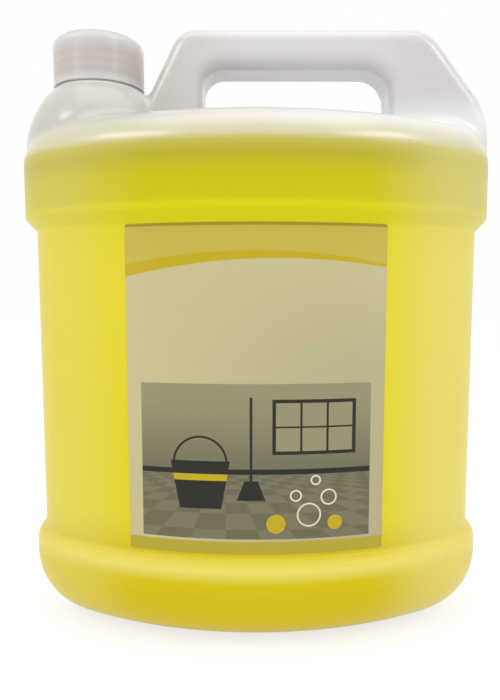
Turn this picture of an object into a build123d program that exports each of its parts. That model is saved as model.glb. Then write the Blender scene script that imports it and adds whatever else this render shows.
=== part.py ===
from build123d import *

import os
from math import atan, degrees, hypot, sqrt

# A five litre floor cleaner bottle: one blow-moulded shell with a hollow handle and an offset
# neck, the liquid inside it, a printed label on the front panel, and a screw cap with its liner.
# Millimetres, Z up. The base rests on Z = 0, the front faces -Y and the neck stands at -X.

# Body outline, a four-centre oval, and the wall of the moulding
body_width = 235.8
body_depth = 134.8
end_radius = 48.2
wall = 1.4

# Foot ring, recessed panel and shoulder band, from the base up
ring_height = 46.0
ring_slim = 0.9
ring_foot_radius = 33.0
ring_top_radius = 6.7
panel_inset = 5.4
panel_height = 151.4
step_height = 5.6
step_round = 3.0
crease_round = 1.0
band_height = 44.4
shoulder_radius = 19.0

# Push-up under the base, with the pinch-off bar that the mould leaves across it
push_up_land = 4.5
push_up_depth = 3.2
push_up_slope = 50.0
pinch_length = 84.0
pinch_width = 1.8
pinch_height = 0.9

# Domed boss that carries the neck, a body of revolution about the neck axis. The axis stands in
# from the body's end, and heights are taken from the shoulder's top.
neck_inset = 37.7
boss_tuck = 1.0
boss_spring_drop = 11.8
boss_crown_radius = 22.2
boss_rise = 20.6
boss_blend = 11.0

# Handle, an arch drawn in the XZ plane. Its foot and heel reach out from the neck axis, its brow
# and elbow stand in from the body's far end, and heights are taken from the shoulder's top.
handle_rise = 48.4
handle_thickness = 30.0
handle_round = 7.0
handle_root_drop = 20.4
foot_reach = 20.2
foot_rise = 4.0
heel_reach = 42.4
heel_round = 12.0
brow_inset = 32.7
brow_round = 18.0
elbow_inset = 4.2
elbow_rise = 11.3
elbow_round = 30.0
wrist_drop = 0.9
wrist_round = 30.0
wrist_tuck = 1.2
foot_blend = 3.5
wrist_blend = 8.0

# Finger slot through the handle, from the neck axis to the body's far end
slot_reach = 53.6
slot_inset = 51.9
slot_rise = 29.8
slot_left_round = 10.0
slot_right_round = 13.0

# Neck finish
neck_radius = 19.5
bore_radius = 17.3
neck_height = 20.7
rim_round = 0.7

# Screw thread, one rib profile for the neck and for the cap
thread_pitch = 4.2
thread_turns = 1.6
thread_depth = 1.4
thread_root = 2.4
thread_crest = 1.0
thread_bite = 0.3
thread_rise = 5.0
thread_gap = 0.35

# Screw cap and the liner under its deck
cap_radius = 22.6
cap_clearance = 1.0
cap_edge_round = 4.5
cap_hem_round = 0.5
cap_deck = 2.1
cap_collar_radius = 20.2
cap_collar_depth = 7.0
liner_thickness = 2.0
liner_gap = 0.2

# Liquid and label
head_space = 15.1
liquid_gap = 0.3
label_width = 119.6
label_thickness = 0.2
label_glue = 0.05
label_foot_margin = 1.9
label_head_margin = 0.9
label_corner = 1.2

# How far a cutting or joining solid runs past the faces it crosses
overrun = 1.0
# Reach above and below a level when its edges are picked
pick = 0.02

# Centres of the oval's arcs: the end arcs lie on X, the face arcs on Y
body_end = body_width / 2
end_centre = body_end - end_radius
face_radius = (end_centre**2 + (body_depth / 2) ** 2 - end_radius**2) / (body_depth - 2 * end_radius)
face_centre = face_radius - body_depth / 2

# Levels, from the base up
panel_top = ring_height + panel_height
band_bottom = panel_top + step_height
shoulder_top = band_bottom + band_height
liquid_level = shoulder_top - head_space
boss_spring = shoulder_top - boss_spring_drop
boss_top = shoulder_top + boss_rise
neck_rim = boss_top + neck_height
thread_start = boss_top + thread_rise
cap_bottom = boss_top + cap_clearance
cap_top = neck_rim + liner_thickness + cap_deck

# Neck axis and the boss round it
neck_x = neck_inset - body_end
boss_radius = neck_inset - boss_tuck

# Sides and top of the finger slot
slot_left = neck_x + slot_reach
slot_right = body_end - slot_inset
slot_top = shoulder_top + slot_rise


def oval(inset):
    """Face of the body's oval, drawn the given distance inside the band's outline."""
    radius = end_radius - inset
    span = hypot(end_centre, face_centre)
    join_x = end_centre + radius * end_centre / span
    join_y = radius * face_centre / span
    half_width = body_end - inset
    half_depth = body_depth / 2 - inset
    with BuildSketch() as face:
        with BuildLine():
            ThreePointArc((-join_x, -join_y), (0, -half_depth), (join_x, -join_y))
            ThreePointArc((join_x, -join_y), (half_width, 0), (join_x, join_y))
            ThreePointArc((join_x, join_y), (0, half_depth), (-join_x, join_y))
            ThreePointArc((-join_x, join_y), (-half_width, 0), (-join_x, -join_y))
        make_face()
    return face.sketch


def level_edges(form, height):
    """Edges of a form that lie flat at one height."""
    return form.edges().filter_by_position(Axis.Z, height - pick, height + pick)


# Every form below is drawn at a given skin depth inside the bottle's outer surface, so that the
# outside of the moulding, its inside and the liquid all come from the same curves.


def foot_ring(skin):
    """Proud ring below the panel, rolled under at the foot, with the push-up in its base."""
    with BuildPart() as form:
        with BuildSketch(Plane.XY.offset(skin)):
            add(oval(ring_slim + skin))
        extrude(amount=ring_height - 2 * skin)
        fillet(level_edges(form, skin), ring_foot_radius - skin)
        fillet(level_edges(form, ring_height - skin), ring_top_radius - skin)
        with BuildSketch():
            add(oval(ring_slim + ring_foot_radius + push_up_land - skin))
        extrude(amount=push_up_depth + skin, taper=push_up_slope, mode=Mode.SUBTRACT)
    return form.part


def panel_core(skin):
    """Recessed straight part between the ring and the band, where the label goes."""
    start = ring_height - ring_top_radius
    with BuildPart() as form:
        with BuildSketch(Plane.XY.offset(start)):
            add(oval(panel_inset + skin))
        extrude(amount=panel_top - start)
    return form.part


def shoulder_band(skin):
    """Proud band below the shoulder, with its sloping lower step and its rounded top."""
    step_taper = degrees(atan(panel_inset / step_height))
    with BuildPart() as form:
        with BuildSketch(Plane.XY.offset(panel_top)):
            add(oval(panel_inset + skin))
        extrude(amount=step_height, taper=-step_taper)
        with BuildSketch(Plane.XY.offset(band_bottom)):
            add(oval(skin))
        extrude(amount=band_height - skin)
        fillet(level_edges(form, shoulder_top - skin), shoulder_radius - skin)
        fillet(level_edges(form, band_bottom), step_round + skin)
    return form.part


def body_stack(skin):
    """Ring, panel and band as one form, with small rounds in the two creases."""
    with BuildPart() as form:
        add(panel_core(skin))
        add(foot_ring(skin))
        fillet(form.edges(Select.NEW), crease_round)
        add(shoulder_band(skin))
        fillet(level_edges(form, panel_top), crease_round)
    return form.part


def neck_boss(skin):
    """Domed boss: straight up to its springing line, then one arc to a small flat top."""
    rise = boss_top - boss_spring
    draw_in = boss_radius - boss_crown_radius
    dome_radius = (rise**2 + draw_in**2) / (2 * draw_in)
    dome_centre = boss_radius - dome_radius
    side = boss_radius - skin
    crown = dome_centre + sqrt((dome_radius - skin) ** 2 - (rise - skin) ** 2)
    low = band_bottom + skin
    with BuildPart() as form:
        with BuildSketch(Plane.YZ.offset(neck_x)):
            with BuildLine():
                Polyline((crown, boss_top - skin), (0, boss_top - skin), (0, low), (side, low))
                Line((side, low), (side, boss_spring))
                TangentArc((side, boss_spring), (crown, boss_top - skin), tangent=(0, 1))
            make_face()
        revolve(axis=Axis((neck_x, 0, 0), (0, 0, 1)))
    return form.part


def handle_arch(skin):
    """Handle: its outline in XZ less the finger slot, its thickness, and its rolled edges."""
    foot_x = neck_x + foot_reach
    foot_z = shoulder_top + foot_rise
    root_z = shoulder_top - handle_root_drop
    top_z = shoulder_top + handle_rise
    end_x = body_end - wrist_tuck
    side = handle_thickness / 2 - skin
    with BuildPart() as form:
        with BuildSketch(Plane.XZ):
            with BuildLine():
                FilletPolyline(
                    (foot_x, foot_z),
                    (neck_x + heel_reach, top_z),
                    (body_end - brow_inset, top_z),
                    (body_end - elbow_inset, shoulder_top + elbow_rise),
                    (end_x, shoulder_top - wrist_drop),
                    (end_x, root_z),
                    radius=(heel_round, brow_round, elbow_round, wrist_round),
                )
                Polyline((end_x, root_z), (foot_x, root_z), (foot_x, foot_z))
            make_face()
            with BuildLine():
                FilletPolyline(
                    (slot_left, root_z - overrun),
                    (slot_left, slot_top),
                    (slot_right, slot_top),
                    (slot_right, root_z - overrun),
                    radius=(slot_left_round, slot_right_round),
                )
                Line((slot_right, root_z - overrun), (slot_left, root_z - overrun))
            make_face(mode=Mode.SUBTRACT)
            offset(amount=-skin, mode=Mode.REPLACE)
        extrude(amount=side, both=True)
        rims = form.edges().filter_by_position(Axis.Y, side - pick, side + pick)
        rims += form.edges().filter_by_position(Axis.Y, -side - pick, -side + pick)
        fillet(rims, handle_round - skin)
    return form.part


def moulding_form(skin):
    """Whole moulded form: body, boss and handle, blended where they meet."""
    with BuildPart() as form:
        add(body_stack(skin))
        add(neck_boss(skin))
        fillet(form.edges(Select.NEW), boss_blend + skin)
        add(handle_arch(skin))
        roots = form.edges(Select.NEW)
        fillet(roots.filter_by_position(Axis.X, slot_right - pick, body_end), wrist_blend)
        fillet(roots.filter_by_position(Axis.X, neck_x, slot_left + pick), foot_blend)
    return form.part


def thread_rib(base_radius, height, outward):
    """Helical rib that stands on a cylinder, outward on the neck and inward in the cap."""
    path = Helix(thread_pitch, thread_pitch * thread_turns, base_radius, center=(neck_x, 0, height))
    bite = -outward * thread_bite
    reach = outward * thread_depth
    with BuildPart() as rib:
        with BuildSketch(Plane(path @ 0, x_dir=(1, 0, 0), z_dir=path % 0)):
            with BuildLine():
                Polyline(
                    (bite, -thread_root / 2),
                    (0, -thread_root / 2),
                    (reach, -thread_crest / 2),
                    (reach, thread_crest / 2),
                    (0, thread_root / 2),
                    (bite, thread_root / 2),
                    close=True,
                )
            make_face()
        sweep(path=path, is_frenet=True)
    return rib.part


# Bottle: the moulded shell, its neck and its thread
outer_form = moulding_form(0)
inner_form = moulding_form(wall)
neck_thread = thread_rib(neck_radius, thread_start, 1)
with BuildPart() as bottle:
    add(outer_form)
    add(inner_form, mode=Mode.SUBTRACT)
    with BuildSketch(Plane((neck_x, 0, boss_top - wall))):
        Circle(neck_radius)
    extrude(amount=neck_rim - boss_top + wall)
    fillet(level_edges(bottle, neck_rim), rim_round)
    add(neck_thread)
    with BuildSketch(Plane((neck_x, 0, boss_top - wall - overrun))):
        Circle(bore_radius)
    extrude(amount=neck_rim - boss_top + wall + 2 * overrun, mode=Mode.SUBTRACT)
    with BuildSketch(Plane.XY.offset(push_up_depth - pinch_height)):
        Rectangle(pinch_length, pinch_width)
    extrude(amount=pinch_height + wall / 2)
bottle.part.label = "bottle"

# Liquid: fills the moulding to its level, a film's width inside the wall
liquid_fill = body_stack(wall + liquid_gap)
with BuildPart() as liquid:
    add(liquid_fill)
    split(bisect_by=Plane.XY.offset(liquid_level), keep=Keep.BOTTOM)
liquid.part.label = "liquid"

# Label: a thin sheet bent round the front panel
label_inner = face_radius - panel_inset + label_glue
label_outer = label_inner + label_thickness
label_turn = degrees(label_width / label_inner)
label_bottom = ring_height + label_foot_margin
label_height = panel_top - label_head_margin - label_bottom
with BuildPart() as front_label:
    with BuildSketch(Plane.XY.offset(label_bottom)):
        with BuildLine():
            outer = CenterArc((0, face_centre), label_outer, -90 - label_turn / 2, label_turn)
            inner = CenterArc((0, face_centre), label_inner, -90 - label_turn / 2, label_turn)
            Line(outer @ 0, inner @ 0)
            Line(outer @ 1, inner @ 1)
        make_face()
    extrude(amount=label_height)
    fillet(front_label.edges().sort_by(SortBy.LENGTH)[:4], label_corner)
front_label.part.label = "front_label"

# Screw cap: a skirt with its thread, a thick collar round the liner, and a rounded deck
skirt_radius = neck_radius + thread_depth + thread_gap
cap_thread = thread_rib(skirt_radius, thread_start - thread_pitch / 2, -1)
with BuildPart() as screw_cap:
    with BuildSketch(Plane((neck_x, 0, cap_bottom))):
        Circle(cap_radius)
    extrude(amount=cap_top - cap_bottom)
    fillet(level_edges(screw_cap, cap_top), cap_edge_round)
    fillet(level_edges(screw_cap, cap_bottom), cap_hem_round)
    with BuildSketch(Plane((neck_x, 0, cap_bottom))):
        Circle(cap_collar_radius)
    extrude(amount=cap_top - cap_deck - cap_bottom, mode=Mode.SUBTRACT)
    with BuildSketch(Plane((neck_x, 0, cap_bottom))):
        Circle(skirt_radius)
    extrude(amount=cap_top - cap_collar_depth - cap_bottom, mode=Mode.SUBTRACT)
    add(cap_thread)
screw_cap.part.label = "screw_cap"

# Liner: a disc between the cap's deck and the neck's rim
with BuildPart() as cap_liner:
    with BuildSketch(Plane((neck_x, 0, neck_rim))):
        Circle(cap_collar_radius - liner_gap)
    extrude(amount=cap_top - cap_deck - neck_rim)
cap_liner.part.label = "cap_liner"

os.makedirs("parts", exist_ok=True)
export_step(bottle.part, "parts/bottle.step")
export_step(liquid.part, "parts/liquid.step")
export_step(front_label.part, "parts/front_label.step")
export_step(screw_cap.part, "parts/screw_cap.step")
export_step(cap_liner.part, "parts/cap_liner.step")
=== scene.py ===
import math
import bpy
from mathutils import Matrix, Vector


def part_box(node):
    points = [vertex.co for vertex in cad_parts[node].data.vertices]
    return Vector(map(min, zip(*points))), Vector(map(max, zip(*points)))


bl_info = {
    "name": "Floor Cleaner Bottle Finish",
    "version": (1, 0, 0),
    "blender": (4, 2, 0),
    "location": "View3D > Sidebar > Cleaner Bottle",
    "description": "Milky wall, yellow liquid, printed label, clear cap and studio for a five litre bottle",
    "category": "Object",
}

import bpy
from bpy.props import FloatProperty, FloatVectorProperty, PointerProperty
from mathutils import Matrix, Vector

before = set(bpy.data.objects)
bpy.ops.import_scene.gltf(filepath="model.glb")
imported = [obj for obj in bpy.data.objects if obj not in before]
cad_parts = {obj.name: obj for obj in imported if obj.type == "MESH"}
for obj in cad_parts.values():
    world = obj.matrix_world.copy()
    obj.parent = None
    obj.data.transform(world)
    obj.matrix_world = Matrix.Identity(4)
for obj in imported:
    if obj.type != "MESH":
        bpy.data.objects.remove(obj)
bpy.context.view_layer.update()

# Patterns are laid out in millimetres, while the frame is in metres
MM = 1000.0
LIQUID_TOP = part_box("liquid")[1].z * MM
LABEL_FOOT, LABEL_TOP = (corner.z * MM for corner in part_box("front_label"))
LABEL_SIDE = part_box("front_label")[1].x * MM
CAP_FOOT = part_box("screw_cap")[0].z * MM
CAP_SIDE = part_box("screw_cap")[1].x * MM
LINER_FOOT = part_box("cap_liner")[0].z * MM

# Heights of the filled wall's forms, from the foot ring up to the shoulder band, and how far below
# the liquid's surface its colour turns into the line along the top
RING_FACE_FOOT, RING_FACE_TOP = 26.0, 34.5
# Height of the painted highlight along the foot ring's rounded upper edge
RING_EDGE_HIGHLIGHT = 40.5
PANEL_FOOT = 47.5
PANEL_FACE_FOOT, PANEL_FACE_TOP = 62.0, 190.0
BAND_SLOPE_FOOT, BAND_SLOPE_TOP = 196.5, 203.0
BAND_LIP = 206.5
BAND_FACE = 217.0
LINE_DEPTH = 7.0

# The pairs of places below run from where a mask is 0 to where it is 1

# Distances from the middle over which the filled wall turns pale, and then less pale, to this share
PALE_END = (50.0, 94.0)
TURNED_END = (98.0, 118.0)
TURNED_END_SHARE = 0.7
# How pale the end on the neck's side is, and how pale the other end is; the other end's extra paleness is a
# painted highlight
END_SIDES = (-60.0, 60.0)
END_SIDE_SHARES = (0.45, 0.8)
# Heights over which the pale ends of the panel give way to those of the band
BAND_END_HEIGHT = (198.0, 208.0)

# Heights over which the filled wall gives way to the empty one, and over which the painted light from the
# liquid fades on the empty wall
SURFACE_BLUR = (LIQUID_TOP - 2.2, LIQUID_TOP + 2.4)
LIQUID_LIGHT_FADE = (LIQUID_TOP + 3.0, LIQUID_TOP + 18.0)

# Parts of the empty wall: the painted shade on its side towards the neck, the handle's far leg, the painted
# highlight along the shoulder, and the neck, which stands on the boss a clearance below the cap. Clouds move
# the painted highlight and the painted light from the liquid up and down.
# Painted shade on the side towards the neck, growing from the middle outwards
SHADE_ACROSS = (0.0, -70.0)
LEG_ACROSS, LEG_HEIGHT = (55.0, 85.0), (252.0, 272.0)
# Across and up, where the painted highlight lies along the shoulder below the handle's far leg
HIGHLIGHT_ACROSS, HIGHLIGHT_HEIGHT = (-10.0, 60.0), (268.0, 254.0)
CAP_CLEARANCE = 1.0
NECK_ACROSS = (CAP_SIDE + 2.0, CAP_SIDE)
NECK_HEIGHT = (CAP_FOOT - CAP_CLEARANCE - 1.4, CAP_FOOT - CAP_CLEARANCE - 0.4)
CLOUD_DRIFT = 6.0

# Blur of a printed edge
PRINT_EDGE = 0.15

# Layout of the label: its head over a curve, a plain field, and a room with things standing in it.
# The curve drops with the square of the distance from the middle, and the band on it is narrower to
# the right.
HEAD_DEPTH, CURVE_DROP = 12.0, 0.0016
CURVE_BAND, CURVE_BAND_TAPER = 3.6, 0.035
TOP_LINE = (LABEL_TOP - 1.5, LABEL_TOP - 1.1)
FIELD_WARMTH = (LABEL_TOP, LABEL_FOOT + 70.0)
ROOM_MARGIN = 6.5
ROOM_LEFT, ROOM_RIGHT = ROOM_MARGIN - LABEL_SIDE, LABEL_SIDE - ROOM_MARGIN
ROOM_FOOT, ROOM_TOP = LABEL_FOOT + 7.0, LABEL_FOOT + 78.0
ROOM_LIGHT = (ROOM_FOOT + 20.0, ROOM_TOP)
FOOT_STRIP = (ROOM_FOOT - 1.0, ROOM_FOOT - 1.4)
SKIRTING, SKIRTING_HEIGHT = ROOM_FOOT + 30.0, 2.4
FLOOR_LINE = (SKIRTING + 0.2, SKIRTING - 0.2)
# Where the lines of the tiles meet, and the scales of their columns and rows
VANISHING, HORIZON = -14.0, SKIRTING + 12.0
TILE_COLUMNS, TILE_ROWS = 2.6, 150.0

WINDOW_LEFT, WINDOW_FOOT = ROOM_RIGHT - 45.0, SKIRTING + 9.0
WINDOW_WIDTH, WINDOW_HEIGHT, WINDOW_FRAME = 38.0, 25.0, 1.6
PANES_ACROSS, PANES_UP = 3, 2
PANE_WIDTH, PANE_HEIGHT = 10.9, 10.5
PANE_PITCH_ACROSS, PANE_PITCH_UP = 11.9, 11.3

BUCKET_MIDDLE, BUCKET_FOOT, BUCKET_HEIGHT = ROOM_LEFT + 27.0, SKIRTING - 16.0, 22.0
BUCKET_HALF_FOOT, BUCKET_HALF_TOP = 9.5, 13.5
BAIL_HEIGHT, BAIL_RADIUS, BAIL_WIRE = 21.0, 12.0, 1.0
STRIPE_LOW, STRIPE_HIGH = 13.0, 16.0
STRIPE_HALF_LOW, STRIPE_HALF_HIGH = 11.9, 12.4

BROOM_MIDDLE, STICK_HALF = ROOM_LEFT + 50.0, 0.6
STICK_FOOT, STICK_TOP = SKIRTING - 4.0, ROOM_TOP - 6.0
BRUSH_FOOT, BRUSH_TOP = SKIRTING - 12.0, SKIRTING - 3.0
BRUSH_HALF_FOOT, BRUSH_HALF_TOP = 6.5, 3.0

# Place across, height and radius of each bubble and each gold disc
BUBBLES = ((24.0, 66.0, 5.2), (33.0, 74.0, 3.4), (18.0, 75.0, 2.4), (27.0, 82.0, 2.0))
BUBBLE_LINE = 0.7
DISCS = ((9.0, 62.0, 4.4), (36.0, 62.0, 3.4))

# Heights over which the neck behind the cap's wall begins, at its head and at its foot, and how much
# the threads show there
CAP_NECK_HEAD = (LINER_FOOT + 1.0, LINER_FOOT - 5.0)
CAP_NECK_FOOT = (CAP_FOOT + 0.5, CAP_FOOT + 4.0)
THREAD_SHADE, THREAD_CONTRAST = 0.85, 0.08

# The stage, in metres. A side lamp's place and target are those of the right one. Where the floor is
# seen, this share of it is light of this strength.
FLOOR_REACH = 6.0
FLOOR_WHITE_SHARE, FLOOR_WHITE_STRENGTH = 0.6, 1.2
OVERHEAD = {"place": (0.0, -0.10, 0.95), "target": (0.0, 0.0, 0.2), "width": 0.8, "height": 0.5}
STRIP = {"place": (0.62, -0.55, 0.30), "target": (0.05, 0.0, 0.17), "width": 0.12, "height": 0.7}
RAISED = {"place": (0.54, -0.42, 0.78), "target": (0.04, 0.0, 0.2), "width": 0.40, "height": 0.16}
CAMERA_SHIFT = (-0.0087, 0.0298)
CAMERA_CLIP = 0.01


class Pattern:
    """Writes the nodes of one material, and keeps the sums that its patterns are made of short."""

    def __init__(self, name):
        self.material = bpy.data.materials.new(name)
        self.material.use_nodes = True
        self.tree = self.material.node_tree
        self.nodes = self.tree.nodes
        self.shader = self.nodes["Principled BSDF"]
        place = self.nodes.new("ShaderNodeTexCoord")
        scale = self.nodes.new("ShaderNodeVectorMath")
        scale.operation = "SCALE"
        scale.inputs["Scale"].default_value = MM
        self.link(place.outputs["Object"], scale.inputs[0])
        split = self.nodes.new("ShaderNodeSeparateXYZ")
        self.point = scale.outputs[0]
        self.link(self.point, split.inputs[0])
        self.x, _, self.z = split.outputs

    def link(self, source, target):
        self.tree.links.new(source, target)

    def feed(self, name, source):
        """Links a socket into one of the shader's own."""
        self.link(source, self.shader.inputs[name])

    def constant(self, **values):
        """Plain values on the shader's own sockets, by name with underscores for spaces."""
        for name, value in values.items():
            self.shader.inputs[name.replace("_", " ")].default_value = value

    def math(self, operation, first, second=None, third=None):
        """One Math node; each input is a socket or a number."""
        node = self.nodes.new("ShaderNodeMath")
        node.operation = operation
        for socket, value in zip(node.inputs, (first, second, third)):
            if value is None:
                continue
            if isinstance(value, (int, float)):
                socket.default_value = value
            else:
                self.link(value, socket)
        return node.outputs[0]

    def step(self, value, off, on):
        """Mask that is 0 up to off and 1 from on, smooth between. Off may be the higher of the two."""
        node = self.nodes.new("ShaderNodeMapRange")
        node.interpolation_type = "SMOOTHSTEP"
        self.link(value, node.inputs["Value"])
        if off <= on:
            ends, results = (off, on), (0.0, 1.0)
        else:
            ends, results = (on, off), (1.0, 0.0)
        node.inputs["From Min"].default_value, node.inputs["From Max"].default_value = ends
        node.inputs["To Min"].default_value, node.inputs["To Max"].default_value = results
        return node.outputs["Result"]

    def between(self, mask, start, end):
        """Number that goes from start, where the mask is 0, to end, where it is 1."""
        return self.math("MULTIPLY_ADD", mask, end - start, start)

    def both(self, *masks):
        """Product of masks: 1 where all of them are 1."""
        product = masks[0]
        for mask in masks[1:]:
            product = self.math("MULTIPLY", product, mask)
        return product

    def span_mask(self, value, low, high):
        """1 between two values, with the blur of a printed edge."""
        return self.both(
            self.step(value, low - PRINT_EDGE, low + PRINT_EDGE),
            self.step(value, high + PRINT_EDGE, high - PRINT_EDGE),
        )

    def box_mask(self, low_x, high_x, low_z, high_z):
        return self.both(self.span_mask(self.x, low_x, high_x), self.span_mask(self.z, low_z, high_z))

    def taper_mask(self, centre_x, low_z, high_z, low_half, high_half):
        """Upright trapezium with the given half widths at its foot and its head."""
        grow = (high_half - low_half) / (high_z - low_z)
        half = self.math("MULTIPLY_ADD", self.z, grow, low_half - grow * low_z)
        off = self.math("ABSOLUTE", self.math("SUBTRACT", self.x, centre_x))
        inside = self.step(self.math("SUBTRACT", half, off), -PRINT_EDGE, PRINT_EDGE)
        return self.both(inside, self.span_mask(self.z, low_z, high_z))

    def distance(self, centre_x, centre_z):
        """Distance from a point of the XZ plane."""
        across = self.math("SUBTRACT", self.x, centre_x)
        up = self.math("SUBTRACT", self.z, centre_z)
        squares = self.math("ADD", self.math("MULTIPLY", across, across), self.math("MULTIPLY", up, up))
        return self.math("SQRT", squares)

    def disc_mask(self, centre_x, centre_z, radius):
        return self.step(self.distance(centre_x, centre_z), radius + PRINT_EDGE, radius - PRINT_EDGE)

    def ring_mask(self, centre_x, centre_z, radius, width):
        off = self.math("ABSOLUTE", self.math("SUBTRACT", self.distance(centre_x, centre_z), radius))
        return self.step(off, width / 2 + PRINT_EDGE, width / 2 - PRINT_EDGE)

    def mix(self, mask, under, over):
        """Colour over another where the mask is 1; each colour is a socket or a colour."""
        node = self.nodes.new("ShaderNodeMix")
        node.data_type = "RGBA"
        self.link(mask, node.inputs["Factor"])
        sockets = [s for s in node.inputs if s.type == "RGBA"]
        for socket, value in zip(sockets, (under, over)):
            if hasattr(value, "is_output"):
                self.link(value, socket)
            else:
                socket.default_value = (*value, 1.0)
        return next(s for s in node.outputs if s.type == "RGBA")

    def ramp(self, value, stops):
        """Colour along a value, from stops of (value, colour) in rising order."""
        low, high = stops[0][0], stops[-1][0]
        place = self.nodes.new("ShaderNodeMapRange")
        self.link(value, place.inputs["Value"])
        place.inputs["From Min"].default_value = low
        place.inputs["From Max"].default_value = high
        node = self.nodes.new("ShaderNodeValToRGB")
        self.link(place.outputs["Result"], node.inputs["Fac"])
        elements = node.color_ramp.elements
        elements[0].color = (*stops[0][1], 1.0)
        elements[1].color = (*stops[-1][1], 1.0)
        for at, colour in stops[1:-1]:
            elements.new((at - low) / (high - low)).color = (*colour, 1.0)
        return node.outputs["Color"]

    def noise(self, scale, detail=2.0):
        """Noise over the point in millimetres, 0 to 1."""
        node = self.nodes.new("ShaderNodeTexNoise")
        node.inputs["Scale"].default_value = scale
        node.inputs["Detail"].default_value = detail
        self.link(self.point, node.inputs["Vector"])
        return node.outputs[0]

    def bump(self, height, strength, distance):
        """Fine relief of the surface; distance is its depth in metres."""
        node = self.nodes.new("ShaderNodeBump")
        node.inputs["Strength"].default_value = strength
        node.inputs["Distance"].default_value = distance
        self.link(height, node.inputs["Height"])
        self.feed("Normal", node.outputs[0])


def dress(node_name, material):
    """Gives a CAD node its finish."""
    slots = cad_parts[node_name].data.materials
    slots.clear()
    slots.append(material)


class WallSettings(bpy.types.PropertyGroup):
    """Moulded wall of the bottle."""

    pale: FloatVectorProperty(
        name="Empty Wall", description="Wall where no liquid stands behind it",
        subtype="COLOR", size=3, default=(0.87, 0.855, 0.85), min=0, max=1,
    )
    bloom: FloatVectorProperty(
        name="Bloom", description="Cooler patches of the empty wall",
        subtype="COLOR", size=3, default=(0.80, 0.77, 0.78), min=0, max=1,
    )
    leg: FloatVectorProperty(
        name="Handle Leg", description="Empty wall of the handle's leg away from the neck",
        subtype="COLOR", size=3, default=(0.76, 0.725, 0.75), min=0, max=1,
    )
    # Painted shade: the empty wall is darker on the neck's side
    shaded_side: FloatVectorProperty(
        name="Dull Side", description="Empty wall on the neck's side",
        subtype="COLOR", size=3, default=(0.66, 0.645, 0.57), min=0, max=1,
    )
    # Painted highlight: white along the shoulder below the handle's far leg
    bright: FloatVectorProperty(
        name="Bright Shoulder", description="Empty wall along the shoulder at the other side",
        subtype="COLOR", size=3, default=(0.95, 0.95, 0.94), min=0, max=1,
    )
    neck: FloatVectorProperty(
        name="Neck", description="Thick wall of the neck",
        subtype="COLOR", size=3, default=(0.76, 0.75, 0.74), min=0, max=1,
    )
    cream: FloatVectorProperty(
        name="Shoulder Tint", description="Wall just above the liquid, lit from it",
        subtype="COLOR", size=3, default=(0.80, 0.74, 0.50), min=0, max=1,
    )
    line: FloatVectorProperty(
        name="Liquid Line", description="Wall just below the top of the liquid",
        subtype="COLOR", size=3, default=(0.45, 0.40, 0.02), min=0, max=1,
    )
    surface: FloatVectorProperty(
        name="Liquid Surface", description="Wall where the liquid's surface meets it",
        subtype="COLOR", size=3, default=(0.52, 0.47, 0.11), min=0, max=1,
    )
    band: FloatVectorProperty(
        name="Band", description="Filled wall of the band round the shoulder",
        subtype="COLOR", size=3, default=(0.54, 0.49, 0.001), min=0, max=1,
    )
    # Painted light: the band's down-facing lip is coloured lighter than the band, against its shade
    lip: FloatVectorProperty(
        name="Band Lip", description="Filled wall along the band's lower edge",
        subtype="COLOR", size=3, default=(0.57, 0.52, 0.001), min=0, max=1,
    )
    # Painted light: the down-facing slope under the band is coloured much lighter, against its shade
    slope: FloatVectorProperty(
        name="Band Slope", description="Filled wall of the slope between the panel and the band",
        subtype="COLOR", size=3, default=(0.71, 0.65, 0.001), min=0, max=1,
    )
    panel: FloatVectorProperty(
        name="Panel", description="Filled wall of the recessed panel",
        subtype="COLOR", size=3, default=(0.72, 0.61, 0.01), min=0, max=1,
    )
    # Painted highlight along the foot ring's rounded upper edge
    edge: FloatVectorProperty(
        name="Ring Edge", description="Filled wall along the foot ring's rounded upper edge",
        subtype="COLOR", size=3, default=(0.76, 0.66, 0.13), min=0, max=1,
    )
    ring: FloatVectorProperty(
        name="Foot Ring", description="Filled wall of the ring round the foot",
        subtype="COLOR", size=3, default=(0.65, 0.51, 0.001), min=0, max=1,
    )
    # Painted light: the ring's rolled-under foot is coloured lighter, against the shade next to the floor
    foot: FloatVectorProperty(
        name="Foot", description="Filled wall where the ring rolls under",
        subtype="COLOR", size=3, default=(0.74, 0.58, 0.001), min=0, max=1,
    )
    # Partly the shallow liquid and partly a painted highlight, which is stronger at the end away from the
    # neck
    ends: FloatVectorProperty(
        name="Rounded Ends", description="Filled wall at the narrow ends, where the liquid is shallow",
        subtype="COLOR", size=3, default=(0.74, 0.65, 0.165), min=0, max=1,
    )
    # Partly the shallow liquid and partly a painted highlight, which is stronger at the end away from the
    # neck
    band_ends: FloatVectorProperty(
        name="Band Ends", description="Filled wall of the band at the narrow ends",
        subtype="COLOR", size=3, default=(0.62, 0.56, 0.19), min=0, max=1,
    )
    roughness: FloatProperty(
        name="Roughness", description="Roughness of the moulding", default=0.35, min=0, max=1,
    )
    gloss: FloatProperty(
        name="Skin Roughness", description="Roughness of its smooth skin", default=0.2, min=0, max=1,
    )
    clarity: FloatProperty(
        name="Clarity", description="Share of light that passes the empty wall", default=0.3, min=0, max=1,
    )
    filled_coat: FloatProperty(
        name="Filled Shine", description="Shine of the skin over the liquid", default=0.15, min=0, max=1,
    )
    empty_coat: FloatProperty(
        name="Empty Shine", description="Shine of the skin above the liquid", default=0.9, min=0, max=1,
    )


class LiquidSettings(bpy.types.PropertyGroup):
    """Liquid in the bottle."""

    deep: FloatVectorProperty(
        name="Liquid", description="Colour of the liquid at the bottle's foot",
        subtype="COLOR", size=3, default=(0.70, 0.60, 0.01), min=0, max=1,
    )
    shallow: FloatVectorProperty(
        name="Surface", description="Colour of the liquid at its surface",
        subtype="COLOR", size=3, default=(0.78, 0.70, 0.08), min=0, max=1,
    )


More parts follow.
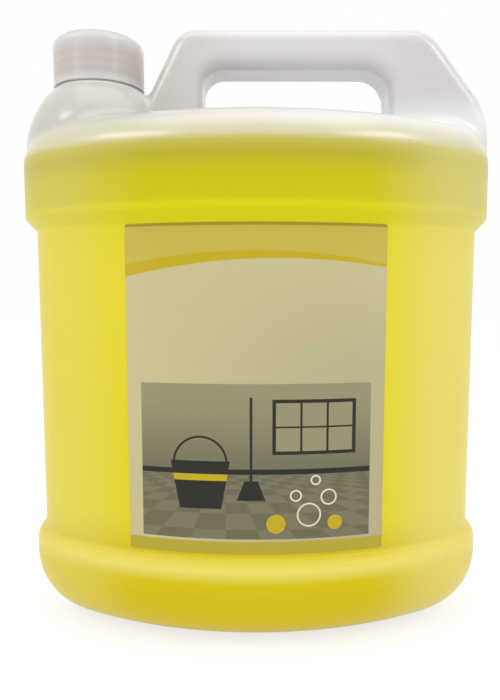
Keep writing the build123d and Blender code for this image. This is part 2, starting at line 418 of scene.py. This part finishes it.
class LabelSettings(bpy.types.PropertyGroup):
    """Printed label."""

    cream: FloatVectorProperty(
        name="Field", description="Plain field under the head",
        subtype="COLOR", size=3, default=(0.53, 0.48, 0.25), min=0, max=1,
    )
    tan: FloatVectorProperty(
        name="Field Edge", description="Plain field, towards its right and lower side",
        subtype="COLOR", size=3, default=(0.44, 0.395, 0.225), min=0, max=1,
    )
    olive: FloatVectorProperty(
        name="Head", description="Head of the label",
        subtype="COLOR", size=3, default=(0.515, 0.42, 0.055), min=0, max=1,
    )
    gold: FloatVectorProperty(
        name="Gold", description="Curved band under the head, the bucket's stripe and the discs",
        subtype="COLOR", size=3, default=(0.50, 0.37, 0.003), min=0, max=1,
    )
    line: FloatVectorProperty(
        name="Top Line", description="Thin line along the top",
        subtype="COLOR", size=3, default=(0.34, 0.25, 0.01), min=0, max=1,
    )
    strip: FloatVectorProperty(
        name="Foot Strip", description="Strip along the foot of the label",
        subtype="COLOR", size=3, default=(0.43, 0.35, 0.025), min=0, max=1,
    )
    grey: FloatVectorProperty(
        name="Room Shade", description="Shaded part of the room's wall, and the floor's dark tiles",
        subtype="COLOR", size=3, default=(0.135, 0.126, 0.072), min=0, max=1,
    )
    wall: FloatVectorProperty(
        name="Room Light", description="Lit part of the room's wall, and its window panes",
        subtype="COLOR", size=3, default=(0.28, 0.262, 0.148), min=0, max=1,
    )
    tiles: FloatVectorProperty(
        name="Tiles", description="The floor's pale tiles",
        subtype="COLOR", size=3, default=(0.175, 0.163, 0.10), min=0, max=1,
    )
    dark: FloatVectorProperty(
        name="Dark", description="Window frame, skirting, bucket and broom",
        subtype="COLOR", size=3, default=(0.014, 0.013, 0.007), min=0, max=1,
    )
    bubble: FloatVectorProperty(
        name="Bubbles", description="Rings over the tiled floor",
        subtype="COLOR", size=3, default=(0.72, 0.70, 0.50), min=0, max=1,
    )


class CapSettings(bpy.types.PropertyGroup):
    """Screw cap and its liner."""

    colour: FloatVectorProperty(
        name="Cap", description="Colour of the cap's plastic",
        subtype="COLOR", size=3, default=(0.96, 0.95, 0.94), min=0, max=1,
    )
    bloom: FloatVectorProperty(
        name="Bloom", description="Whiter patches of the cap's plastic",
        subtype="COLOR", size=3, default=(0.97, 0.96, 0.95), min=0, max=1,
    )
    neck: FloatVectorProperty(
        name="Neck Shade", description="Cap where the neck stands behind its wall",
        subtype="COLOR", size=3, default=(0.80, 0.73, 0.68), min=0, max=1,
    )
    pitch: FloatProperty(name="Thread Pitch", description="In millimetres", default=4.2, min=1)
    clarity: FloatProperty(
        name="Clarity", description="Share of light that passes the cap's wall", default=0.5, min=0, max=1,
    )
    liner: FloatVectorProperty(
        name="Liner", description="Colour of the liner's foam",
        subtype="COLOR", size=3, default=(0.78, 0.77, 0.75), min=0, max=1,
    )
    cells: FloatVectorProperty(
        name="Liner Cells", description="Colour of the hollows between the foam's cells",
        subtype="COLOR", size=3, default=(0.70, 0.69, 0.67), min=0, max=1,
    )


class StageSettings(bpy.types.PropertyGroup):
    """Studio."""

    floor: FloatVectorProperty(
        name="Floor", description="Colour of the floor",
        subtype="COLOR", size=3, default=(0.86, 0.86, 0.86), min=0, max=1,
    )
    camera_distance: FloatProperty(
        name="Camera Distance", description="From the bottle's middle to the camera",
        default=0.35187, min=0.1, unit="LENGTH",
    )
    camera_height: FloatProperty(
        name="Camera Height", description="Above the floor", default=0.1619, min=0.01, unit="LENGTH",
    )
    camera_pitch: FloatProperty(
        name="Camera Pitch", description="How far the camera looks down", default=0.10349, subtype="ANGLE",
    )
    focal_length: FloatProperty(name="Focal Length", description="In millimetres", default=33.94, min=5)
    ambient: FloatProperty(
        name="Ambient", description="Strength of the room's even light", default=0.85, min=0,
    )
    overhead: FloatProperty(
        name="Overhead Lamp", description="Power of the overhead panel", default=1.6, min=0, unit="POWER",
    )
    strips: FloatProperty(
        name="Side Lamps", description="Power of each upright strip", default=0.45, min=0, unit="POWER",
    )
    raised: FloatProperty(
        name="Raised Lamps", description="Power of each small panel high in front",
        default=1.1, min=0, unit="POWER",
    )


class CLEANER_OT_wall(bpy.types.Operator):
    """Gives the moulded bottle its milky wall, coloured by the liquid behind it"""

    bl_idname = "cleaner.wall"
    bl_label = "Finish Wall"

    def execute(self, context):
        look = context.scene.cleaner_wall
        paint = Pattern("milky_wall")
        neck = paint.both(paint.step(paint.z, *NECK_HEIGHT), paint.step(paint.x, *NECK_ACROSS))
        above = paint.step(paint.z, *SURFACE_BLUR)
        filled = self.filled_wall(paint, look)
        empty = self.empty_wall(paint, look, neck)
        paint.feed("Base Color", paint.mix(above, filled, empty))
        # The neck is thick, and lets no light through
        passed = paint.both(above, paint.between(neck, look.clarity, 0.0))
        paint.feed("Transmission Weight", passed)
        paint.feed("Coat Weight", paint.between(above, look.filled_coat, look.empty_coat))
        paint.constant(Roughness=look.roughness, IOR=1.45, Specular_IOR_Level=0.1, Coat_Roughness=look.gloss)
        paint.bump(paint.noise(scale=0.07, detail=3.0), strength=0.22, distance=0.001)
        dress("bottle", paint.material)
        return {"FINISHED"}

    @staticmethod
    def filled_wall(paint, look):
        """Wall with liquid behind it, by height. Towards the ends the liquid is shallower and pales it, and
        a painted highlight pales the end away from the neck further.
        """
        stops = (
            # Painted light at the foot, against the shade next to the floor
            (0.0, look.foot),
            (RING_FACE_FOOT, look.ring),
            (RING_FACE_TOP, look.ring),
            # Painted highlight along the ring's rounded upper edge
            (RING_EDGE_HIGHLIGHT, look.edge),
            (PANEL_FOOT, look.ring),
            (PANEL_FACE_FOOT, look.panel),
            (PANEL_FACE_TOP, look.panel),
            # The slope and the lip are painted lighter, as painted light against the shade under the band
            (BAND_SLOPE_FOOT, look.slope),
            (BAND_SLOPE_TOP, look.slope),
            (BAND_LIP, look.lip),
            (BAND_FACE, look.band),
            (LIQUID_TOP - LINE_DEPTH, look.line),
            (LIQUID_TOP, look.surface),
        )
        filled = paint.ramp(paint.z, stops)
        across = paint.math("ABSOLUTE", paint.x)
        turned = paint.between(paint.step(across, *TURNED_END), 1.0, TURNED_END_SHARE)
        # The end away from the neck gets more painted highlight
        sides = paint.between(paint.step(paint.x, *END_SIDES), *END_SIDE_SHARES)
        ends = paint.both(paint.step(across, *PALE_END), turned, sides)
        pale = paint.mix(paint.step(paint.z, *BAND_END_HEIGHT), look.ends, look.band_ends)
        return paint.mix(ends, filled, pale)

    @staticmethod
    def empty_wall(paint, look, neck):
        """Wall above the liquid. It carries painted shade on the neck's side, is darker on the far leg of
        the handle, has a painted highlight along the shoulder below that leg, and painted light from the
        liquid just above it."""
        cloud = paint.noise(scale=0.02)
        height = paint.math("MULTIPLY_ADD", cloud, CLOUD_DRIFT, paint.z)
        leg = paint.both(paint.step(paint.x, *LEG_ACROSS), paint.step(paint.z, *LEG_HEIGHT))
        # Painted highlight along the shoulder
        highlight_mask = paint.both(paint.step(paint.x, *HIGHLIGHT_ACROSS), paint.step(height, *HIGHLIGHT_HEIGHT))
        colour = paint.mix(cloud, look.pale, look.bloom)
        colour = paint.mix(leg, colour, look.leg)
        # Painted shade on the neck's side
        colour = paint.mix(paint.step(paint.x, *SHADE_ACROSS), colour, look.shaded_side)
        colour = paint.mix(highlight_mask, colour, look.bright)
        colour = paint.mix(neck, colour, look.neck)
        # Painted light from the liquid on the wall just above it
        return paint.mix(paint.step(height, *LIQUID_LIGHT_FADE), look.cream, colour)


class CLEANER_OT_liquid(bpy.types.Operator):
    """Gives the liquid its colour"""

    bl_idname = "cleaner.liquid"
    bl_label = "Finish Liquid"

    def execute(self, context):
        look = context.scene.cleaner_liquid
        paint = Pattern("yellow_liquid")
        height = paint.step(paint.z, 0.0, LIQUID_TOP)
        paint.feed("Base Color", paint.mix(height, look.deep, look.shallow))
        paint.constant(Roughness=0.08, IOR=1.33)
        dress("liquid", paint.material)
        return {"FINISHED"}


class CLEANER_OT_label(bpy.types.Operator):
    """Prints the label: a head, a curved band, a plain field and a simple room with a tiled floor"""

    bl_idname = "cleaner.label"
    bl_label = "Print Label"

    def execute(self, context):
        look = context.scene.cleaner_label
        paint = Pattern("printed_label")
        # The field is warmer towards the right and downwards
        warm = paint.both(paint.step(paint.x, -LABEL_SIDE, LABEL_SIDE), paint.step(paint.z, *FIELD_WARMTH))
        colour = paint.mix(warm, look.cream, look.tan)
        for add in (self.add_head, self.add_room, self.add_window, self.add_bucket, self.add_broom):
            colour = add(paint, look, colour)
        for bubble in BUBBLES:
            colour = paint.mix(paint.ring_mask(*bubble, BUBBLE_LINE), colour, look.bubble)
        for disc in DISCS:
            colour = paint.mix(paint.disc_mask(*disc), colour, look.gold)
        colour = paint.mix(paint.step(paint.z, *FOOT_STRIP), colour, look.strip)
        paint.feed("Base Color", colour)
        paint.constant(Roughness=0.3, IOR=1.5, Specular_IOR_Level=0.3)
        paint.bump(paint.noise(scale=0.03), strength=0.10, distance=0.0006)
        dress("front_label", paint.material)
        return {"FINISHED"}

    @staticmethod
    def add_head(paint, look, colour):
        """Head over a curve, with a band along it that widens to the left, and a line along the top."""
        square = paint.math("MULTIPLY", paint.x, paint.x)
        curve = paint.math("MULTIPLY_ADD", square, -CURVE_DROP, LABEL_TOP - HEAD_DEPTH)
        over = paint.math("SUBTRACT", paint.z, curve)
        width = paint.math("MULTIPLY_ADD", paint.x, -CURVE_BAND_TAPER, CURVE_BAND)
        band = paint.both(
            paint.step(paint.math("ADD", over, width), -PRINT_EDGE, PRINT_EDGE),
            paint.step(over, PRINT_EDGE, -PRINT_EDGE),
        )
        colour = paint.mix(paint.step(over, -PRINT_EDGE, PRINT_EDGE), colour, look.olive)
        colour = paint.mix(band, colour, look.gold)
        return paint.mix(paint.step(paint.z, *TOP_LINE), colour, look.line)

    @staticmethod
    def add_room(paint, look, colour):
        """Wall that is lit from above, its skirting, and tiles that run towards the horizon."""
        wall = paint.mix(paint.step(paint.z, *ROOM_LIGHT), look.grey, look.wall)
        depth = paint.math("SUBTRACT", HORIZON, paint.z)
        aside = paint.math("SUBTRACT", paint.x, VANISHING)
        columns = paint.math("DIVIDE", paint.math("MULTIPLY", aside, TILE_COLUMNS), depth)
        rows = paint.math("DIVIDE", TILE_ROWS, depth)
        count = paint.math("ADD", paint.math("FLOOR", columns), paint.math("FLOOR", rows))
        checker = paint.math("ABSOLUTE", paint.math("MODULO", count, 2.0))
        tiled = paint.mix(checker, look.tiles, look.grey)
        wall = paint.mix(paint.step(paint.z, *FLOOR_LINE), wall, tiled)
        skirting = paint.box_mask(ROOM_LEFT, ROOM_RIGHT, SKIRTING, SKIRTING + SKIRTING_HEIGHT)
        wall = paint.mix(skirting, wall, look.dark)
        return paint.mix(paint.box_mask(ROOM_LEFT, ROOM_RIGHT, ROOM_FOOT, ROOM_TOP), colour, wall)

    @staticmethod
    def add_window(paint, look, colour):
        right, top = WINDOW_LEFT + WINDOW_WIDTH, WINDOW_FOOT + WINDOW_HEIGHT
        colour = paint.mix(paint.box_mask(WINDOW_LEFT, right, WINDOW_FOOT, top), colour, look.dark)
        for column in range(PANES_ACROSS):
            for row in range(PANES_UP):
                left = WINDOW_LEFT + WINDOW_FRAME + PANE_PITCH_ACROSS * column
                foot = WINDOW_FOOT + WINDOW_FRAME + PANE_PITCH_UP * row
                pane = paint.box_mask(left, left + PANE_WIDTH, foot, foot + PANE_HEIGHT)
                colour = paint.mix(pane, colour, look.wall)
        return colour

    @staticmethod
    def add_bucket(paint, look, colour):
        bail_foot = BUCKET_FOOT + BAIL_HEIGHT
        ring = paint.ring_mask(BUCKET_MIDDLE, bail_foot, BAIL_RADIUS, BAIL_WIRE)
        bail = paint.both(ring, paint.step(paint.z, bail_foot, bail_foot + BAIL_WIRE))
        pail = paint.taper_mask(
            BUCKET_MIDDLE, BUCKET_FOOT, BUCKET_FOOT + BUCKET_HEIGHT, BUCKET_HALF_FOOT, BUCKET_HALF_TOP
        )
        stripe = paint.taper_mask(
            BUCKET_MIDDLE, BUCKET_FOOT + STRIPE_LOW, BUCKET_FOOT + STRIPE_HIGH,
            STRIPE_HALF_LOW, STRIPE_HALF_HIGH,
        )
        colour = paint.mix(bail, colour, look.dark)
        colour = paint.mix(pail, colour, look.dark)
        return paint.mix(stripe, colour, look.gold)

    @staticmethod
    def add_broom(paint, look, colour):
        left, right = BROOM_MIDDLE - STICK_HALF, BROOM_MIDDLE + STICK_HALF
        stick = paint.box_mask(left, right, STICK_FOOT, STICK_TOP)
        brush = paint.taper_mask(BROOM_MIDDLE, BRUSH_FOOT, BRUSH_TOP, BRUSH_HALF_FOOT, BRUSH_HALF_TOP)
        colour = paint.mix(stick, colour, look.dark)
        return paint.mix(brush, colour, look.dark)


class CLEANER_OT_cap(bpy.types.Operator):
    """Gives the cap its clear plastic and the liner its foam"""

    bl_idname = "cleaner.cap"
    bl_label = "Finish Cap"

    def execute(self, context):
        look = context.scene.cleaner_cap
        self.finish_cap(look)
        self.finish_liner(look)
        return {"FINISHED"}

    @staticmethod
    def finish_cap(look):
        """The neck behind the cap's wall darkens it, in soft bands where the threads are."""
        paint = Pattern("clear_cap")
        turn = paint.math("MULTIPLY", paint.z, 2.0 * math.pi / look.pitch)
        bands = paint.math("MULTIPLY_ADD", paint.math("SINE", turn), THREAD_CONTRAST, THREAD_SHADE)
        over_neck = paint.both(paint.step(paint.z, *CAP_NECK_HEAD), paint.step(paint.z, *CAP_NECK_FOOT))
        clouded = paint.mix(paint.noise(scale=0.06, detail=3.0), look.colour, look.bloom)
        paint.feed("Base Color", paint.mix(paint.both(over_neck, bands), clouded, look.neck))
        paint.constant(Roughness=0.18, IOR=1.49, Transmission_Weight=look.clarity)
        dress("screw_cap", paint.material)

    @staticmethod
    def finish_liner(look):
        foam = Pattern("liner_foam")
        cells = foam.noise(scale=1.6)
        foam.feed("Base Color", foam.mix(cells, look.liner, look.cells))
        foam.constant(Roughness=0.8)
        foam.bump(cells, strength=0.3, distance=0.0003)
        dress("cap_liner", foam.material)


class CLEANER_OT_stage(bpy.types.Operator):
    """Sets the pale floor, the soft lamps and the camera"""

    bl_idname = "cleaner.stage"
    bl_label = "Set Stage"

    def execute(self, context):
        look = context.scene.cleaner_stage
        self.lay_floor(look)
        self.light_room(context.scene, look)
        self.hang_lamp("overhead", OVERHEAD, look.overhead)
        for name, side in (("left", -1.0), ("right", 1.0)):
            self.hang_lamp(name + "_strip", STRIP, look.strips, side)
            self.hang_lamp(name + "_raised", RAISED, look.raised, side)
        self.place_camera(context.scene, look)
        return {"FINISHED"}

    @staticmethod
    def white_where_seen(tree):
        """Mask that is 1 for rays that should see plain white: camera, mirror and see-through rays."""
        path = tree.nodes.new("ShaderNodeLightPath")
        seen = path.outputs["Is Camera Ray"]
        for name in ("Is Glossy Ray", "Is Transmission Ray"):
            either = tree.nodes.new("ShaderNodeMath")
            either.operation = "MAXIMUM"
            tree.links.new(seen, either.inputs[0])
            tree.links.new(path.outputs[name], either.inputs[1])
            seen = either.outputs[0]
        return seen

    def lay_floor(self, look):
        """Wide sheet that takes the shadow, and is mixed with white where it is seen."""
        mesh = bpy.data.meshes.new("floor")
        corners = [(-1, -1), (1, -1), (1, 1), (-1, 1)]
        mesh.from_pydata([(x * FLOOR_REACH, y * FLOOR_REACH, 0.0) for x, y in corners], [], [(0, 1, 2, 3)])
        floor = bpy.data.objects.new("floor", mesh)
        bpy.context.scene.collection.objects.link(floor)
        material = bpy.data.materials.new("white_floor")
        material.use_nodes = True
        tree = material.node_tree
        shader = tree.nodes["Principled BSDF"]
        shader.inputs["Base Color"].default_value = (*look.floor, 1.0)
        shader.inputs["Roughness"].default_value = 0.7
        glow = tree.nodes.new("ShaderNodeEmission")
        glow.inputs["Strength"].default_value = FLOOR_WHITE_STRENGTH
        share = tree.nodes.new("ShaderNodeMath")
        share.operation = "MULTIPLY"
        share.inputs[1].default_value = FLOOR_WHITE_SHARE
        blend = tree.nodes.new("ShaderNodeMixShader")
        tree.links.new(self.white_where_seen(tree), share.inputs[0])
        tree.links.new(share.outputs[0], blend.inputs["Fac"])
        tree.links.new(shader.outputs[0], blend.inputs[1])
        tree.links.new(glow.outputs[0], blend.inputs[2])
        tree.links.new(blend.outputs[0], tree.nodes["Material Output"].inputs["Surface"])
        mesh.materials.append(material)

    def light_room(self, scene, look):
        """Even light from all round, at plain white where it is seen."""
        world = bpy.data.worlds.new("studio")
        scene.world = world
        world.use_nodes = True
        tree = world.node_tree
        background = tree.nodes["Background"]
        background.inputs["Color"].default_value = (1.0, 1.0, 1.0, 1.0)
        strength = tree.nodes.new("ShaderNodeMapRange")
        strength.inputs["To Min"].default_value = look.ambient
        strength.inputs["To Max"].default_value = 1.0
        tree.links.new(self.white_where_seen(tree), strength.inputs["Value"])
        tree.links.new(strength.outputs[0], background.inputs["Strength"])

    @staticmethod
    def hang_lamp(name, panel, power, side=1.0):
        """Soft panel that faces its target; a side of -1 mirrors it to the left."""
        lamp = bpy.data.lights.new(name, "AREA")
        lamp.shape = "RECTANGLE"
        lamp.size = panel["width"]
        lamp.size_y = panel["height"]
        lamp.energy = power
        holder = bpy.data.objects.new(name, lamp)
        place, target = Vector(panel["place"]), Vector(panel["target"])
        place.x *= side
        target.x *= side
        aim = (target - place).to_track_quat("-Z", "Y")
        holder.matrix_world = Matrix.Translation(place) @ aim.to_matrix().to_4x4()
        bpy.context.scene.collection.objects.link(holder)

    @staticmethod
    def place_camera(scene, look):
        data = bpy.data.cameras.new("view")
        data.lens = look.focal_length
        data.shift_x, data.shift_y = CAMERA_SHIFT
        data.clip_start = CAMERA_CLIP
        camera = bpy.data.objects.new("view", data)
        camera.location = (0.0, -look.camera_distance, look.camera_height)
        camera.rotation_euler = (math.pi / 2 - look.camera_pitch, 0.0, 0.0)
        scene.collection.objects.link(camera)
        scene.camera = camera
        scene.view_settings.view_transform = "Standard"


class CLEANER_PT_sidebar(bpy.types.Panel):
    """Lists the steps that finish the bottle"""

    bl_label = "Cleaner Bottle"
    bl_space_type = "VIEW_3D"
    bl_region_type = "UI"
    bl_category = "Cleaner Bottle"

    def draw(self, context):
        for operator in STEPS:
            self.layout.operator(operator.bl_idname)


SETTINGS = {
    "cleaner_wall": WallSettings,
    "cleaner_liquid": LiquidSettings,
    "cleaner_label": LabelSettings,
    "cleaner_cap": CapSettings,
    "cleaner_stage": StageSettings,
}
STEPS = (CLEANER_OT_wall, CLEANER_OT_liquid, CLEANER_OT_label, CLEANER_OT_cap, CLEANER_OT_stage)
CLASSES = (*SETTINGS.values(), *STEPS, CLEANER_PT_sidebar)


def register():
    for cls in CLASSES:
        bpy.utils.register_class(cls)
    for name, group in SETTINGS.items():
        setattr(bpy.types.Scene, name, PointerProperty(type=group))


def unregister():
    for name in SETTINGS:
        delattr(bpy.types.Scene, name)
    for cls in reversed(CLASSES):
        bpy.utils.unregister_class(cls)


def main():
    register()
    bpy.ops.cleaner.wall()
    bpy.ops.cleaner.liquid()
    bpy.ops.cleaner.label()
    bpy.ops.cleaner.cap()
    bpy.ops.cleaner.stage()


if __name__ == "__main__":
    main()
